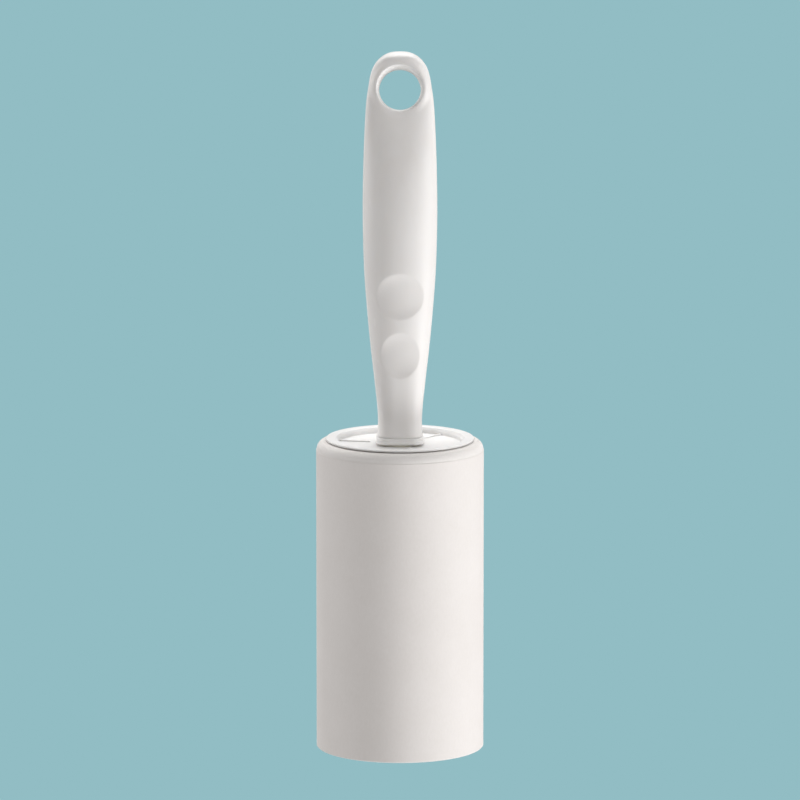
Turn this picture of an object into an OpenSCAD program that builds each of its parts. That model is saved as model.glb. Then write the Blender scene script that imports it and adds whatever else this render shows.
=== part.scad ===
// Hand-held lint roller: a peel-off sticky paper roll on a spinning carrier,
// carried by a hollow two-shell handle with a steel axle.
// The roll stands on the plane z = 0 with its axis on Z. The handle points up,
// -Y is its thumb side, and its free end leans back towards +Y.

/* [Paper roll] */
// Outer diameter of the full roll
roll_d = 54.6; // [52:0.1:58]
// Width of the paper, which is the length of the roll
roll_len = 101.6; // [90:0.1:120]
// Inside diameter of the cardboard core
core_id = 42.6; // [42.6:0.1:44]
// Wall thickness of the cardboard core
core_wall = 1.5; // [1:0.1:2]
// Thickness of one sheet, liner and adhesive together
sheet_t = 0.15; // [0.12:0.01:0.3]
// Rounding of the paper at the top edge of the roll
paper_round = 3; // [0.4:0.1:3.2]
// Angle that the loose outer sheet covers
lead_angle = 352; // [300:1:358]

/* [Carrier] */
// Diameter of the disc that the roll seats against
flange_d = 48; // [46:0.5:50]
// Depth of the dished middle of the disc
flange_dish = 1.9; // [1.6:0.1:2.2]
// Height of the three radial ribs on the disc
rib_h = 0.4; // [0.2:0.1:0.4]
// Wall thickness of the carrier tube
tube_wall = 1.5; // [1.2:0.1:2]
// Number of springs that grip the core
spring_count = 3; // [2:1:3]
// Width of each grip spring
spring_w = 8; // [6:0.5:10]
// Length of the windows that the springs bow through
window_len = 44; // [36:1:50]

/* [Axle] */
// Diameter of the steel axle
axle_d = 6; // [5:0.5:6]
// Length of the axle that the handle clamps
axle_root = 30; // [24:1:34]
// Radial running clearance of the bushes
bush_play = 0.05; // [0.02:0.01:0.1]

/* [Handle] */
// Length of the handle above its collar
handle_len = 123.9; // [115:0.1:135]
// Width of the handle at its fullest
grip_w = 24.2; // [23:0.1:27]
// Width of the neck collar, side to side
collar_w = 15.7; // [15.2:0.1:16.4]
// Depth of the neck collar, front to back
collar_depth = 15.3; // [15:0.1:16]
// Wall thickness of the handle shells
shell_wall = 2; // [1.6:0.1:2.2]
// How far the handle's end leans back
lean_back = 14.6; // [8:0.2:16]
// Inside diameter of the hanging eyelet
eyelet_id = 13.5; // [10:0.1:13.8]

/* [Thumb dishes] */
// Height of the upper dish above the collar
dish_upper_z = 47.2; // [46:0.2:50]
// Height of the lower dish above the collar
dish_lower_z = 27.6; // [26:0.2:28]
// Width of the upper dish
dish_upper_w = 15.6; // [14:0.2:16]
// Width of the lower dish
dish_lower_w = 12.8; // [11:0.2:13]
// Height of each dish
dish_h = 15; // [14:0.2:16]
// Depth of the upper dish
dish_upper_depth = 0.9; // [0.6:0.1:1.2]
// Depth of the lower dish
dish_lower_depth = 0.8; // [0.6:0.1:1.1]

/* [Hidden] */
$fn = 96;

white_plastic = "#ecebe8";
paper_white = "#e9e6e2";
card_brown = "#b89a72";
steel_grey = "#b9bcc0";
natural_nylon = "#dcd8cc";

// Roll and core
roll_r = roll_d / 2;
core_r = core_id / 2;
core_out = core_r + core_wall;
paper_r = roll_r - sheet_t;
foot_round = 0.4;

// Margins of the solid itself: overlap of joined pieces, and how far a cut runs clear
overlap = 0.5;
clear = 1;

// Carrier: heights are measured up from the foot of the roll
seat_gap = 0.3;
slide_gap = 0.4;
tube_r = core_r - slide_gap;
tube_in = tube_r - tube_wall;
rim_z = roll_len + seat_gap;
rim_t = 0.6;
rim_top = rim_z + rim_t;
floor_z = rim_top - flange_dish;
pocket_t = 0.6;
floor_t = 1.4;
recess_wall = 0.9;
recess_r = tube_r - recess_wall;
tube_top = floor_z - floor_t;
cap_bottom = 4;
cap_t = 2;
tube_bottom = cap_bottom + cap_t;
spigot_wall = 1.4;
spigot_gap = 0.05;
spigot_len = 6;
hub_r = 8;
hub_len = 13;
rib_w = 1;
rib_start = 8.2;
rib_root = 0.2;
rib_angles = [48, 168, 288];

// Axle, bushes and washers
axle_r = axle_d / 2;
bush_in = axle_r + bush_play;
bush_wall = 2;
bush_r = axle_r + bush_wall;
bush_flange_w = 1.5;
bush_flange_r = bush_r + bush_flange_w;
bush_flange_t = 0.8;
bush_inset = 0.4;
bush_len = 12;
press_gap = 0.02;
washer_t = 1.1;
washer_r = 7.2;
washer_play = 0.1;
washer_hole = axle_r + washer_play;
pocket_play = 0.4;
pocket_r = washer_r + pocket_play;
washer_gap = 0.05;
washer_bottom = floor_z - pocket_t + washer_gap;
collar_bottom = washer_bottom + washer_t + washer_gap;
collar_h = 2;
foot_z = collar_bottom + collar_h;
axle_top = foot_z + axle_root;
axle_bottom = cap_bottom + bush_inset;
screw_r = 1.5;
screw_len = 12;
screw_play = 0.2;
screw_head_r = 3;
screw_head_h = 1.8;
end_washer_t = 1;
end_washer_r = 5.6;
pin_r = 1.25;
pin_len = 9;
pin_height = 15;
pin_z = foot_z + pin_height;

nominal_len = 124.4;
nominal_w = 24.2;
// Handle: [height above the collar, half width, half depth, squareness]
// for the nominal handle, which is nominal_len long and nominal_w wide
stations = [
    [0, 7.3, 7.1, 3.0],
    [7, 7.2, 7.0, 3.0],
    [18, 8.25, 7.4, 2.6],
    [28, 9.4, 8.0, 2.3],
    [40, 10.55, 8.6, 2.2],
    [55, 11.65, 9.4, 2.2],
    [72, 12.1, 9.6, 2.2],
    [87, 11.95, 8.4, 2.2],
    [100, 11.5, 5.7, 2.4],
    [109, 10.9, 4.55, 3.2],
    [116, 10.0, 4.45, 3.8],
    [124.4, 10.5, 4.4, 3.8]
];
lean_from = 36.8;
cavity_len = 98;
stretch = handle_len / nominal_len;
widen = grip_w / nominal_w;
handle_top = foot_z + handle_len;
lean_start = foot_z + lean_from * stretch;
tip_width_len = 10.7;
tip_width_power = 2.1;
tip_depth_len = 1.6;
tip_depth_power = 2;
cavity_top = foot_z + cavity_len * stretch;
section_sides = 52;
section_steps = 26;
tip_steps = 7;
tip_share = 0.999;
parting_steps = 24;
cavity_steps = 12;
eyelet_r = eyelet_id / 2;
eyelet_wall = 1.15;
eyelet_out = eyelet_r + eyelet_wall;
eyelet_len = 9;
eyelet_flare = 2.2;
eyelet_lip = 0.15;
eyelet_drop = 12;
eyelet_z = handle_top - eyelet_drop;
clamp_ribs = [9, 20, 27, 50, 70, 88];
clamp_rib_t = 1.6;
fit_gap = 0.05;
dish_reach = 3;
dish_sweep = 48;
dish_cut = 0.6;
dish_steps = 12;

// Heights of the loft: even steps up the grip, then closer ones that stop just short
// of the tip
tip_start = handle_top - tip_width_len;
loft_z = concat(
    [for (i = [0:section_steps]) foot_z + (tip_start - foot_z) * i / section_steps],
    [for (i = [1:tip_steps]) tip_start + tip_width_len * sin(90 * i / tip_steps) * tip_share]
);

// Cubic through the stations: c picks half width, half depth or squareness
function slope(i, c) =
    let (a = max(i - 1, 0), b = min(i + 1, len(stations) - 1))
    (stations[b][c] - stations[a][c]) / (stations[b][0] - stations[a][0]);
function segment(h, i = 0) =
    (i >= len(stations) - 2 || h < stations[i + 1][0]) ? i : segment(h, i + 1);
function through(h, c) =
    let (i = segment(h), p = stations[i], q = stations[i + 1], d = q[0] - p[0],
         t = (h - p[0]) / d)
    p[c] * (2 * t^3 - 3 * t^2 + 1) + slope(i, c) * d * (t^3 - 2 * t^2 + t)
        + q[c] * (3 * t^2 - 2 * t^3) + slope(i + 1, c) * d * (t^3 - t^2);
function nominal(z) = (z - foot_z) / stretch;

// The tip closes as a superellipse over its last stretch
function closing(z, span, power) =
    let (t = max(0, 1 - (handle_top - z) / span)) (1 - t^power)^(1 / power);
function half_w(z) =
    widen * through(nominal(z), 1) * closing(z, tip_width_len, tip_width_power);
function half_d(z) =
    through(nominal(z), 2) * closing(z, tip_depth_len, tip_depth_power);
function lean(z) =
    z < lean_start ? 0 : lean_back * ((z - lean_start) / (handle_top - lean_start))^2;
function lean_angle(z) =
    atan(2 * lean_back * (z - lean_start) / (handle_top - lean_start)^2);

// Superellipse outline: n = 2 is an ellipse, larger n is squarer. No corner lies on
// the parting surface.
function power_of(v, e) = sign(v) * abs(v)^e;
function superellipse(a, b, n) = [
    for (i = [0:section_sides - 1]) let (u = 360 * (i + 0.5) / section_sides)
    [a * power_of(cos(u), 2 / n), b * power_of(sin(u), 2 / n)]
];

// Quarter-round points about a centre, from angle a to angle b
function arc(cx, cy, r, a, b, steps = 6) =
    [for (i = [0:steps]) let (u = a + (b - a) * i / steps) [cx + r * cos(u), cy + r * sin(u)]];

// ---- Handle ----

// Outline of the handle at one height, shrunk by the given inset
function ring(z, inset) = [
    for (p = superellipse(half_w(z) - inset, half_d(z) - inset, through(nominal(z), 3)))
    [p[0], p[1] + lean(z), z]
];

// Loft through the outlines at the listed heights
module loft(heights, inset = 0) {
    n = section_sides;
    for (i = [0:len(heights) - 2])
        hull()
            polyhedron(concat(ring(heights[i], inset), ring(heights[i + 1], inset)),
                       [[for (k = [0:n - 1]) k], [for (k = [n - 1:-1:0]) n + k]]);
}

// Hollow inside the shells, crossed by the ribs that clamp the axle
module cavity() {
    low = foot_z - overlap;
    heights = [for (i = [0:cavity_steps]) low + (cavity_top - low) * i / cavity_steps];
    difference() {
        loft(heights, shell_wall);
        for (h = clamp_ribs)
            translate([-grip_w / 2, -grip_w / 2, foot_z + h * stretch])
                cube([grip_w, grip_w, clamp_rib_t]);
        dishes(shell_wall);
    }
}

// Everything on the thumb side of the curved parting surface
module thumb_side() {
    low = foot_z - clear;
    high = handle_top + clear;
    edge = [for (i = [0:parting_steps]) let (z = low + (high - low) * i / parting_steps)
            [lean(z), z]];
    far = -2 * grip_w;
    translate([-grip_w, 0, 0])
        rotate([90, 0, 90])
            linear_extrude(2 * grip_w)
                polygon(concat(edge, [[far, high], [far, low]]));
}

// Front face on the centre line, and how far it falls back at a distance x to one side
function front(z) = lean(z) - half_d(z);
function fall(z, x) =
    let (n = through(nominal(z), 3)) half_d(z) * (1 - (1 - (x / half_w(z))^n)^(1 / n));
function arc_radius(chord, rise) = (chord^2 / 4 + rise^2) / (2 * rise);

// Shallow thumb dish let into the front face: hollow along the handle, and flatter
// than the face across it. Its outline is w wide and dish_h high.
module dish(height, w, depth, grow = 0) {
    z = foot_z + height * stretch;
    across_r = arc_radius(w, fall(z, w / 2) - depth);
    along_r = arc_radius(dish_h, depth);
    half = dish_h * dish_cut;
    waist = [for (i = [-dish_steps:dish_steps]) let (u = half * i / dish_steps)
             [across_r + along_r - sqrt((along_r + grow)^2 - u^2), u]];
    translate([0, front(z), z])
        rotate([-atan((front(z + 1) - front(z - 1)) / 2), 0, 0])
            translate([0, depth + across_r, 0])
                rotate([0, 0, 270 - dish_sweep / 2])
                    rotate_extrude(angle = dish_sweep, $fn = 240)
                        polygon(concat(waist, [[across_r + dish_reach, half],
                                               [across_r + dish_reach, -half]]));
}

module dishes(grow = 0) {
    dish(dish_upper_z, dish_upper_w, dish_upper_depth, grow);
    dish(dish_lower_z, dish_lower_w, dish_lower_depth, grow);
}

module at_eyelet() {
    translate([0, lean(eyelet_z), eyelet_z])
        rotate([90 - lean_angle(eyelet_z), 0, 0])
            children();
}

// Both shells before they are parted
module handle_blank() {
    difference() {
        loft(loft_z);
        cavity();
        cylinder(r = axle_r + fit_gap, h = axle_top + fit_gap, $fn = 48);
        translate([0, 0, pin_z])
            rotate([0, 90, 0])
                cylinder(r = pin_r + fit_gap, h = pin_len + 2 * fit_gap, center = true, $fn = 32);
        at_eyelet()
            cylinder(r = eyelet_out + press_gap, h = 4 * eyelet_len, center = true);
    }
}

module handle_front() {
    color(white_plastic)
        difference() {
            intersection() {
                handle_blank();
                thumb_side();
            }
            dishes();
        }
}

module handle_rear() {
    color(white_plastic)
        difference() {
            handle_blank();
            thumb_side();
        }
}

// Liner ring of the hanging hole, flared at both mouths
module hanging_eyelet() {
    h = eyelet_len / 2;
    lip_r = eyelet_out - eyelet_lip;
    color(white_plastic)
        at_eyelet()
            rotate_extrude()
                polygon([
                    [eyelet_r, eyelet_flare - h], [lip_r, -h], [eyelet_out, eyelet_lip - h],
                    [eyelet_out, h - eyelet_lip], [lip_r, h], [eyelet_r, h - eyelet_flare]
                ]);
}

// Rounded-square plug that closes the neck and bears on the thrust washer
module neck_collar() {
    corner = 3.8;
    boss_r = 4.6;
    boss_h = 5;
    color(white_plastic)
        difference() {
            union() {
                translate([0, 0, collar_bottom])
                    linear_extrude(collar_h)
                        rounded_box(collar_w, collar_depth, corner);
                translate([0, 0, foot_z - overlap])
                    cylinder(r = boss_r, h = boss_h + overlap);
            }
            translate([0, 0, collar_bottom - clear])
                cylinder(r = axle_r + fit_gap, h = collar_h + boss_h + 2 * clear);
        }
}

module rounded_box(w, d, r) {
    square([w - 2 * r, d], center = true);
    square([w, d - 2 * r], center = true);
    for (x = [-1, 1], y = [-1, 1])
        translate([x * (w / 2 - r), y * (d / 2 - r)])
            circle(r = r);
}

// ---- Axle ----

module axle() {
    chamfer = 0.5;
    color(steel_grey)
        difference() {
            rotate_extrude()
                polygon([
                    [0, axle_bottom], [axle_r - chamfer, axle_bottom],
                    [axle_r, axle_bottom + chamfer], [axle_r, axle_top - chamfer],
                    [axle_r - chamfer, axle_top], [0, axle_top]
                ]);
            translate([0, 0, axle_bottom - clear])
                cylinder(r = screw_r + press_gap, h = screw_len + 2 * clear);
            translate([0, 0, pin_z])
                rotate([0, 90, 0])
                    cylinder(r = pin_r + press_gap, h = axle_d + 2 * clear, center = true);
        }
}

// Dowel through the axle, held in sockets between the shells
module axle_pin() {
    color(steel_grey)
        translate([0, 0, pin_z])
            rotate([0, 90, 0])
                cylinder(r = pin_r, h = pin_len, center = true);
}

module washer(hole_r, r, t) {
    difference() {
        cylinder(r = r, h = t);
        translate([0, 0, -clear])
            cylinder(r = hole_r, h = t + 2 * clear);
    }
}

module thrust_washer() {
    color(natural_nylon)
        translate([0, 0, washer_bottom])
            washer(washer_hole, washer_r, washer_t);
}

module end_washer() {
    color(steel_grey)
        translate([0, 0, axle_bottom - end_washer_t])
            washer(screw_r + screw_play, end_washer_r, end_washer_t);
}

// Pan-head screw with a cross recess, driven up into the axle
module retaining_screw() {
    seat = axle_bottom - end_washer_t;
    recess_w = 0.9;
    recess_len = 3.4;
    recess_depth = 1;
    edge = 0.7;
    color(steel_grey)
        difference() {
            union() {
                rotate_extrude()
                    polygon(concat(
                        [[0, seat], [screw_head_r, seat]],
                        arc(screw_head_r - edge, seat - screw_head_h + edge, edge, 0, -90),
                        [[0, seat - screw_head_h]]
                    ));
                translate([0, 0, seat - overlap])
                    cylinder(r = screw_r, h = screw_len + overlap);
            }
            for (a = [0, 90])
                rotate([0, 0, a])
                    translate([-recess_len / 2, -recess_w / 2, seat - screw_head_h - clear])
                        cube([recess_len, recess_w, recess_depth + clear]);
        }
}

// ---- Carrier ----

// Top disc: raised rim, dished floor, hub below and three radial ribs
module carrier_flange() {
    r = flange_d / 2;
    rim_edge = 0.15;
    lip_w = 1.2;
    lip_drop = 0.8;
    seat = floor_z - pocket_t;
    spigot_r = tube_in - spigot_gap;
    color(white_plastic)
        union() {
            rotate_extrude()
                polygon(concat(
                    [[tube_r, rim_z], [r, rim_z]],
                    arc(r - rim_edge, rim_top - rim_edge, rim_edge, 0, 90),
                    [[recess_r + lip_w, rim_top],
                     [recess_r + lip_w / 3, rim_top - lip_drop / 3],
                     [recess_r, rim_top - lip_drop],
                     [recess_r, floor_z], [pocket_r, floor_z],
                     [pocket_r, seat], [bush_flange_r + press_gap, seat],
                     [bush_flange_r + press_gap, seat - bush_flange_t],
                     [bush_r + press_gap, seat - bush_flange_t],
                     [bush_r + press_gap, tube_top - hub_len], [hub_r, tube_top - hub_len],
                     [hub_r, tube_top], [spigot_r - spigot_wall, tube_top],
                     [spigot_r - spigot_wall, tube_top - spigot_len],
                     [spigot_r, tube_top - spigot_len], [spigot_r, tube_top],
                     [tube_r, tube_top]]
                ));
            for (a = rib_angles)
                rotate([0, 0, a])
                    translate([rib_start, -rib_w / 2, floor_z - rib_root])
                        cube([recess_r + rib_root - rib_start, rib_w, rib_h + rib_root]);
        }
}

window_z = (tube_bottom + tube_top) / 2;

// Tube that fills the core, with a window for each grip spring
module carrier_tube() {
    lead_in = 0.8;
    window_w = spring_w + 1;
    slot_w = 14;
    slot_len = 22;
    slot_shift = 20;
    reach = 3;
    color(white_plastic)
        difference() {
            rotate_extrude()
                polygon([
                    [tube_in, tube_bottom], [tube_r - lead_in / 2, tube_bottom],
                    [tube_r, tube_bottom + lead_in], [tube_r, tube_top], [tube_in, tube_top]
                ]);
            for (i = [0:spring_count - 1])
                rotate([0, 0, 360 / spring_count * i])
                    translate([tube_in - reach, -window_w / 2, window_z - window_len / 2])
                        cube([tube_wall + 2 * reach, window_w, window_len]);
            for (i = [0:spring_count - 1], z = [-1, 1])
                rotate([0, 0, 360 / spring_count * (i + 0.5)])
                    translate([tube_in - reach, -slot_w / 2,
                               window_z + z * slot_shift - slot_len / 2])
                        cube([tube_wall + 2 * reach, slot_w, slot_len]);
        }
}

// Bottom disc of the carrier, plugged into the tube
module carrier_end_cap() {
    spigot_r = tube_in - spigot_gap;
    edge = 0.5;
    seat = cap_bottom + bush_flange_t + bush_inset;
    color(white_plastic)
        rotate_extrude()
            polygon([
                [bush_r + press_gap, seat], [bush_flange_r + press_gap, seat],
                [bush_flange_r + press_gap, cap_bottom], [tube_r - edge, cap_bottom],
                [tube_r, cap_bottom + edge], [tube_r, tube_bottom], [spigot_r, tube_bottom],
                [spigot_r, tube_bottom + spigot_len],
                [spigot_r - spigot_wall, tube_bottom + spigot_len],
                [spigot_r - spigot_wall, tube_bottom], [hub_r, tube_bottom],
                [hub_r, tube_bottom + hub_len], [bush_r + press_gap, tube_bottom + hub_len]
            ]);
}

// Flanged plain bearing, flange down
module bush() {
    rotate_extrude()
        polygon([
            [bush_in, 0], [bush_flange_r, 0], [bush_flange_r, bush_flange_t],
            [bush_r, bush_flange_t], [bush_r, bush_len], [bush_in, bush_len]
        ]);
}

module upper_bush() {
    color(natural_nylon)
        translate([0, 0, floor_z - pocket_t])
            mirror([0, 0, 1])
                bush();
}

module lower_bush() {
    color(natural_nylon)
        translate([0, 0, cap_bottom + bush_inset])
            bush();
}

// Bowed leaf spring: its ends tuck behind the tube, its crest presses on the core
module grip_spring(i) {
    t = 0.6;
    crest_gap = 0.08;
    tuck_gap = 0.1;
    tail = 4;
    steps = 16;
    bow_half = 0.46 * window_len;
    crest = sqrt((core_r - crest_gap)^2 - (spring_w / 2)^2);
    low = sqrt(tube_in^2 - (spring_w / 2)^2) - tuck_gap;
    half = window_len / 2 + tail;
    bow = [for (k = [0:steps]) let (u = -half + 2 * half * k / steps, v = abs(u) / bow_half)
           [low + (crest - low) * (v >= 1 ? 0 : (1 + cos(180 * v)) / 2), u]];
    back = [for (k = [steps:-1:0]) [bow[k][0] - t, bow[k][1]]];
    color(steel_grey)
        rotate([0, 0, 360 / spring_count * i])
            translate([0, spring_w / 2, window_z])
                rotate([90, 0, 0])
                    linear_extrude(spring_w)
                        polygon(concat(bow, back));
}

module grip_spring_1() { grip_spring(0); }
module grip_spring_2() { grip_spring(1); }
module grip_spring_3() { if (spring_count > 2) grip_spring(2); else grip_spring(1); }

// ---- Roll ----

module roll_core() {
    color(card_brown)
        rotate_extrude()
            polygon([[core_r, 0], [core_out, 0], [core_out, roll_len], [core_r, roll_len]]);
}

// Wound sheets, all but the outermost
module paper_roll() {
    top_r = min(paper_round, paper_r - core_out) - sheet_t;
    color(paper_white)
        rotate_extrude()
            polygon(concat(
                [[core_out, 0], [paper_r - foot_round, 0]],
                arc(paper_r - foot_round, foot_round, foot_round, -90, 0, 4),
                arc(paper_r - top_r, roll_len - top_r, top_r, 0, 90, 6),
                [[core_out, roll_len]]
            ));
}

// Outermost sheet, with its free edge at the back of the roll
module lead_sheet() {
    color(paper_white)
        rotate([0, 0, 90 + (360 - lead_angle) / 2])
            rotate_extrude(angle = lead_angle)
                polygon([
                    [paper_r, foot_round], [roll_r, foot_round],
                    [roll_r, roll_len - paper_round], [paper_r, roll_len - paper_round]
                ]);
}

handle_front();
handle_rear();
hanging_eyelet();
neck_collar();
axle();
axle_pin();
thrust_washer();
end_washer();
retaining_screw();
carrier_flange();
carrier_tube();
carrier_end_cap();
upper_bush();
lower_bush();
grip_spring_1();
grip_spring_2();
grip_spring_3();
roll_core();
paper_roll();
lead_sheet();
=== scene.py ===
"""Lint roller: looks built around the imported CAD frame.

Shapes are worked out in millimetres, in the frame's own axes (+Z up, -Y the thumb side),
and turned into metres as each mesh is made.
"""
import math

import bmesh
import bpy
from mathutils import Matrix, Vector


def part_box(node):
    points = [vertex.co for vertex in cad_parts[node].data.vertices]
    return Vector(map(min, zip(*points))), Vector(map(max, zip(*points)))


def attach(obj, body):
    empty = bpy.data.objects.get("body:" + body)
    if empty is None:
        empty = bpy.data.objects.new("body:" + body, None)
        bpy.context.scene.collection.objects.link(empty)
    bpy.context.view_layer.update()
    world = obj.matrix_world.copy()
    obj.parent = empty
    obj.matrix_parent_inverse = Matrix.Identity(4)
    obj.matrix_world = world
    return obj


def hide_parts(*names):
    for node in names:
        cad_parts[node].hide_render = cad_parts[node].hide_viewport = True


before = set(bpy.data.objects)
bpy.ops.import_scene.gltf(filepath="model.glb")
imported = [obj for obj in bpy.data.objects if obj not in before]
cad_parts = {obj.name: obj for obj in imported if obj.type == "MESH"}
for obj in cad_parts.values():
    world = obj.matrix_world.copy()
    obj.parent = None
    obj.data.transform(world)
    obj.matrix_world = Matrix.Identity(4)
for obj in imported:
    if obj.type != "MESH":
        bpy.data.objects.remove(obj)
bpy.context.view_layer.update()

MM = 0.001
TAU = 2 * math.pi


# ---- Dimensions, in millimetres ----

def box_mm(node):
    """Lowest and highest corner of a CAD node, in millimetres."""
    low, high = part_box(node)
    return low / MM, high / MM


ROLL_R = -box_mm("lead_sheet")[0].y
ROLL_TOP = box_mm("paper_roll")[1].z
CORE_OUT = box_mm("roll_core")[1].x
CORE_WALL = 1.5
CORE_IN = CORE_OUT - CORE_WALL
SHEET_T = 0.15
PAPER_ROUND = 3
FOOT_ROUND = 0.4
# Wound layers drawn, and how far the ends of the roll are uneven
LAYERS = 29
UNEVEN = 0.025
# Outer sheet: angle of its free edge, gap there, and how far its two ends dip inwards
LEAD_EDGE = 90
LEAD_GAP = 0.8
LEAD_IN = 0.14
LEAD_OUT = 0.068

FLANGE_R = box_mm("carrier_flange")[1].x
RIM_TOP = box_mm("carrier_flange")[1].z
SEAT_GAP = 0.3
RIM_Z = ROLL_TOP + SEAT_GAP
TUBE_R = box_mm("carrier_tube")[1].x
TUBE_WALL = 1.5
TUBE_IN = TUBE_R - TUBE_WALL
TUBE_LOW = box_mm("carrier_tube")[0].z
TUBE_TOP = box_mm("carrier_tube")[1].z
TUBE_MID = (TUBE_LOW + TUBE_TOP) / 2
CAP_LOW = box_mm("carrier_end_cap")[0].z
FLOOR_T = 1.4
FLOOR_Z = TUBE_TOP + FLOOR_T
POCKET_T = 0.6
# Slope inside the rim, as far in as it goes down
RIM_SLOPE = 0.9
RECESS_R = TUBE_R - RIM_SLOPE
POCKET_R = 7.6
BUSH_SEAT_R = 6.52
BUSH_SEAT_T = 0.8
BUSH_INSET = 0.4
BUSH_R = 5.02
HUB_R = 8
HUB_LEN = 13
SPIGOT_R = TUBE_IN - 0.05
SPIGOT_IN = SPIGOT_R - 1.4
SPIGOT_LEN = 6
RIB_ANGLES = (48, 168, 288)
RIB_START = 9.8
RIB_W = 1
RIB_H = 0.45
WINDOW_LEN = 44
SPRING_COUNT = 3
SPRING_PITCH = 360 / SPRING_COUNT
SPRING_W = 8
SPRING_T = 0.6
SLOT_W = 14
SLOT_LEN = 22
SLOT_SHIFT = 20
AXLE_R = 3
SCREW_R = 1.5
SCREW_HEAD_R = 3
SCREW_HEAD_H = 1.8

FOOT_Z = box_mm("handle_front")[0].z
HANDLE_TOP = box_mm("handle_front")[1].z
NOMINAL_LEN = 124.4
STRETCH = (HANDLE_TOP - FOOT_Z) / NOMINAL_LEN
LEAN_START = FOOT_Z + 36.8 * STRETCH
LEAN_BACK = 14.6
TIP_WIDTH_LEN = 10.7
TIP_WIDTH_POWER = 2.1
TIP_DEPTH_LEN = 1.6
TIP_DEPTH_POWER = 2
EYELET_Z = HANDLE_TOP - 12
EYELET_R = 6.75
EYELET_OUT = 7.9
EYELET_HALF = 4.5
EYELET_FLARE = 2.2
EYELET_LIP = 0.15
SHELL_T = 1.6
# Parting groove between the shells, which ends short of the tip
GROOVE_DEPTH = 0.14
GROOVE_W = 0.35
GROOVE_END = 1
# The skin eases to the eyelet's lip over LIP_REACH, and is cut HOLE_TUCK inside its ring
LIP_REACH = 2.2
LIP_SINK = 0.04
HOLE_TUCK = 0.22
# Rows of the shells: step, step over the dishes, and step above the height HIGH_FROM
ROW_STEP = 0.9
DISH_ROW_STEP = 0.378
HIGH_ROW_STEP = 0.54
HIGH_FROM = 100
TIP_ROWS = 60

# [height above the collar, half width, half depth, squareness]
STATIONS = (
    (0, 7.3, 7.1, 3.0),
    (7, 7.2, 7.0, 3.0),
    (18, 8.25, 7.4, 2.6),
    (28, 9.4, 8.0, 2.3),
    (40, 10.55, 8.6, 2.2),
    (55, 11.65, 9.4, 2.2),
    (72, 12.1, 9.6, 2.2),
    (87, 11.95, 8.4, 2.2),
    (100, 11.5, 5.7, 2.4),
    (109, 10.9, 4.55, 3.2),
    (116, 10.0, 4.45, 3.8),
    (124.4, 10.5, 4.4, 3.8),
)
# [height above the collar, width, depth] of each thumb dish
DISHES = ((47.2, 15.6, 0.9), (27.6, 12.8, 0.8))
DISH_H = 15
# Softness of a dish's rim, and how steep its wall is beside its floor
DISH_RIM = 0.06
DISH_STEEP = 1.6


# ---- Handle form ----

def slope(i, c):
    a, b = STATIONS[max(i - 1, 0)], STATIONS[min(i + 1, len(STATIONS) - 1)]
    return (b[c] - a[c]) / (b[0] - a[0])


def through(z, c):
    """Cubic through the stations: c picks half width, half depth or squareness."""
    h = (z - FOOT_Z) / STRETCH
    i = max(k for k in range(len(STATIONS) - 1) if k == 0 or STATIONS[k][0] <= h)
    p, q = STATIONS[i], STATIONS[i + 1]
    d = q[0] - p[0]
    t = (h - p[0]) / d
    t2, t3 = t * t, t * t * t
    return (p[c] * (2 * t3 - 3 * t2 + 1) + slope(i, c) * d * (t3 - 2 * t2 + t)
            + q[c] * (3 * t2 - 2 * t3) + slope(i + 1, c) * d * (t3 - t2))


def closing(z, span, power):
    """Falls from 1 to 0 over the last span below the handle's top."""
    t = min(max(0, 1 - (HANDLE_TOP - z) / span), 1)
    return (1 - t ** power) ** (1 / power)


def half_w(z):
    return through(z, 1) * closing(z, TIP_WIDTH_LEN, TIP_WIDTH_POWER)


def half_d(z):
    return through(z, 2) * closing(z, TIP_DEPTH_LEN, TIP_DEPTH_POWER)


def lean(z):
    """How far back the handle's middle lies at height z."""
    return 0 if z < LEAN_START else LEAN_BACK * ((z - LEAN_START) / (HANDLE_TOP - LEAN_START)) ** 2


def signed_power(v, e):
    return math.copysign(abs(v) ** e, v)


def smoothstep(t):
    t = min(max(t, 0), 1)
    return t * t * (3 - 2 * t)


EYELET_TILT = math.atan(2 * LEAN_BACK * (EYELET_Z - LEAN_START) / (HANDLE_TOP - LEAN_START) ** 2)
EYELET_AXIS = Vector((0, -math.cos(EYELET_TILT), math.sin(EYELET_TILT)))
EYELET_MID = Vector((0, lean(EYELET_Z), EYELET_Z))


def front(z):
    """Depth of the thumb side at height z, without the dishes."""
    return lean(z) - half_d(z)


def dish_forms():
    """Each dish as its height, tilt, half width and depth."""
    forms = []
    for height, width, depth in DISHES:
        z = FOOT_Z + height * STRETCH
        forms.append((z, math.atan((front(z + 1) - front(z - 1)) / 2), width / 2, depth))
    return forms


DISH_FORMS = dish_forms()


def dish_depth(x, z):
    """How deep the dishes lie below the grip's own surface at (x, z)."""
    for mid, tilt, half, depth in DISH_FORMS:
        off = (x / half) ** 2 + ((z - mid) / math.cos(tilt) / (DISH_H / 2)) ** 2
        if off < 1.3:
            inside = 1 - off ** DISH_STEEP
            return depth * (inside + math.sqrt(inside ** 2 + DISH_RIM ** 2)) / 2
    return 0


# ---- Mesh helpers ----

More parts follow.
